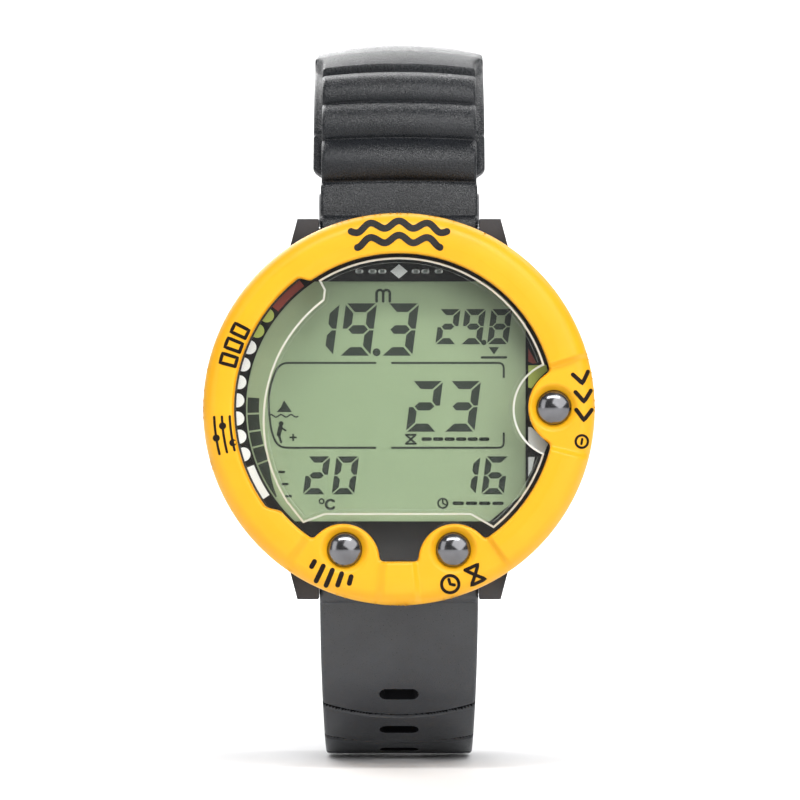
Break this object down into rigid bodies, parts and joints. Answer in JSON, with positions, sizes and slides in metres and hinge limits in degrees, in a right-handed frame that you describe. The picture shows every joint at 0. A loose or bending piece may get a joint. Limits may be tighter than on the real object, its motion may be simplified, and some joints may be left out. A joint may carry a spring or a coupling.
{
  "type": "dive computer",
  "caption": "Round puck-style wrist dive computer with a yellow bezel ring, segment display, three push buttons, clear display guard and a two-part rubber strap.",
  "frame": {"origin": "middle of the wrist opening, in line with the centre of the dial", "axes": "+X towards three o'clock and along the wrist, +Z towards twelve o'clock, dial facing -Y"},
  "size_m": [0.068, 0.0845, 0.1298],
  "materials": {
    "bezel_yellow": "fine moulded grain, satin",
    "case_black": "glass-filled nylon, fine grain",
    "crystal_clear": "clear, polished",
    "shield_clear": "clear polycarbonate, polished",
    "dial_black": "printed plate",
    "lcd_glass": "grey-green reflective liquid crystal",
    "white_plastic": "plain moulded",
    "conductive_rubber": "striped silicone",
    "seal_rubber": "smooth, greased",
    "board_green": "solder mask on glass epoxy",
    "chip_black": "moulded epoxy",
    "spring_steel": "drawn wire and strip",
    "steel": "turned stainless steel",
    "brass": "stamped",
    "strap_rubber": "moulded elastomer with a fine spark grain",
    "buckle_black": "moulded acetal, satin",
    "button_chrome": "polished steel"
  },
  "bodies": {
    "watch": {"backlight": "white_plastic", "battery": "steel", "battery_contact_negative": "spring_steel", "battery_contact_positive": "spring_steel", "battery_cover": "case_black", "battery_cover_o_ring": "seal_rubber", "bezel_ring": "bezel_yellow", "board_components": "chip_black", "buzzer": "brass", "case_body": "case_black", "circuit_board": "board_green", "crystal": "crystal_clear", "crystal_gasket": "seal_rubber", "dial_plate": "dial_black", "display_shield": "shield_clear", "lcd_panel": "lcd_glass", "module_frame": "white_plastic", "module_screws": "steel", "pressure_port_grille": "steel", "pressure_sensor": "steel", "pressure_sensor_seal": "seal_rubber", "strap_pin_lower": "steel", "strap_pin_upper": "steel", "switch_domes": "spring_steel", "water_contacts": "steel", "zebra_connector": "conductive_rubber"},
    "plan_button": {"button_plan": "button_chrome", "button_plan_seal": "seal_rubber", "button_plan_clip": "spring_steel", "button_plan_spring": "spring_steel"},
    "time_button": {"button_time": "button_chrome", "button_time_seal": "seal_rubber", "button_time_clip": "spring_steel", "button_time_spring": "spring_steel"},
    "mode_button": {"button_mode": "button_chrome", "button_mode_seal": "seal_rubber", "button_mode_clip": "spring_steel", "button_mode_spring": "spring_steel"},
    "upper_strap": {"strap_upper": "strap_rubber", "buckle_pin": "steel"},
    "buckle": {"buckle_frame": "buckle_black"},
    "tongue": {"buckle_tongue": "steel"},
    "keeper": {"strap_keeper": "strap_rubber"},
    "lower_strap": {"strap_lower": "strap_rubber"},
    "lock_ring": {"battery_lock_ring": "case_black"}
  },
  "joints": [
    {"name": "plan_press", "type": "slide", "parent": "watch", "child": "plan_button", "axis": [0, 1, 0], "range_m": [0, 0.001], "stiffness_N_per_m": 1500, "springref_m": -0.001, "deforming": ["button_plan_spring"]},
    {"name": "time_press", "type": "slide", "parent": "watch", "child": "time_button", "axis": [0, 1, 0], "range_m": [0, 0.001], "stiffness_N_per_m": 1500, "springref_m": -0.001, "deforming": ["button_time_spring"]},
    {"name": "mode_press", "type": "slide", "parent": "watch", "child": "mode_button", "axis": [0, 1, 0], "range_m": [0, 0.001], "stiffness_N_per_m": 1500, "springref_m": -0.001, "deforming": ["button_mode_spring"]},
    {"name": "upper_strap_hinge", "type": "hinge", "parent": "watch", "child": "upper_strap", "pos_m": [0, -0.031, 0.0316], "axis": [1, 0, 0], "range_deg": [0, 50]},
    {"name": "lower_strap_hinge", "type": "hinge", "parent": "watch", "child": "lower_strap", "pos_m": [0, -0.031, -0.0316], "axis": [-1, 0, 0], "range_deg": [0, 50]},
    {"name": "buckle_frame_hinge", "type": "hinge", "parent": "upper_strap", "child": "buckle", "pos_m": [0, 0.03, 0.038], "axis": [1, 0, 0], "range_deg": [0, 60]},
    {"name": "buckle_tongue_hinge", "type": "hinge", "parent": "buckle", "child": "tongue", "pos_m": [0, 0.03, 0.038], "axis": [1, 0, 0], "range_deg": [0, 25]},
    {"name": "keeper_slide", "type": "hinge", "parent": "upper_strap", "child": "keeper", "pos_m": [0, 0.00782, 0.04316], "axis": [-1, 0, 0], "range_deg": [-10, 20]},
    {"name": "lock_ring_turn", "type": "hinge", "parent": "watch", "child": "lock_ring", "pos_m": [0, -0.024, 0], "axis": [0, 1, 0], "range_deg": [0, 45]}
  ]
}
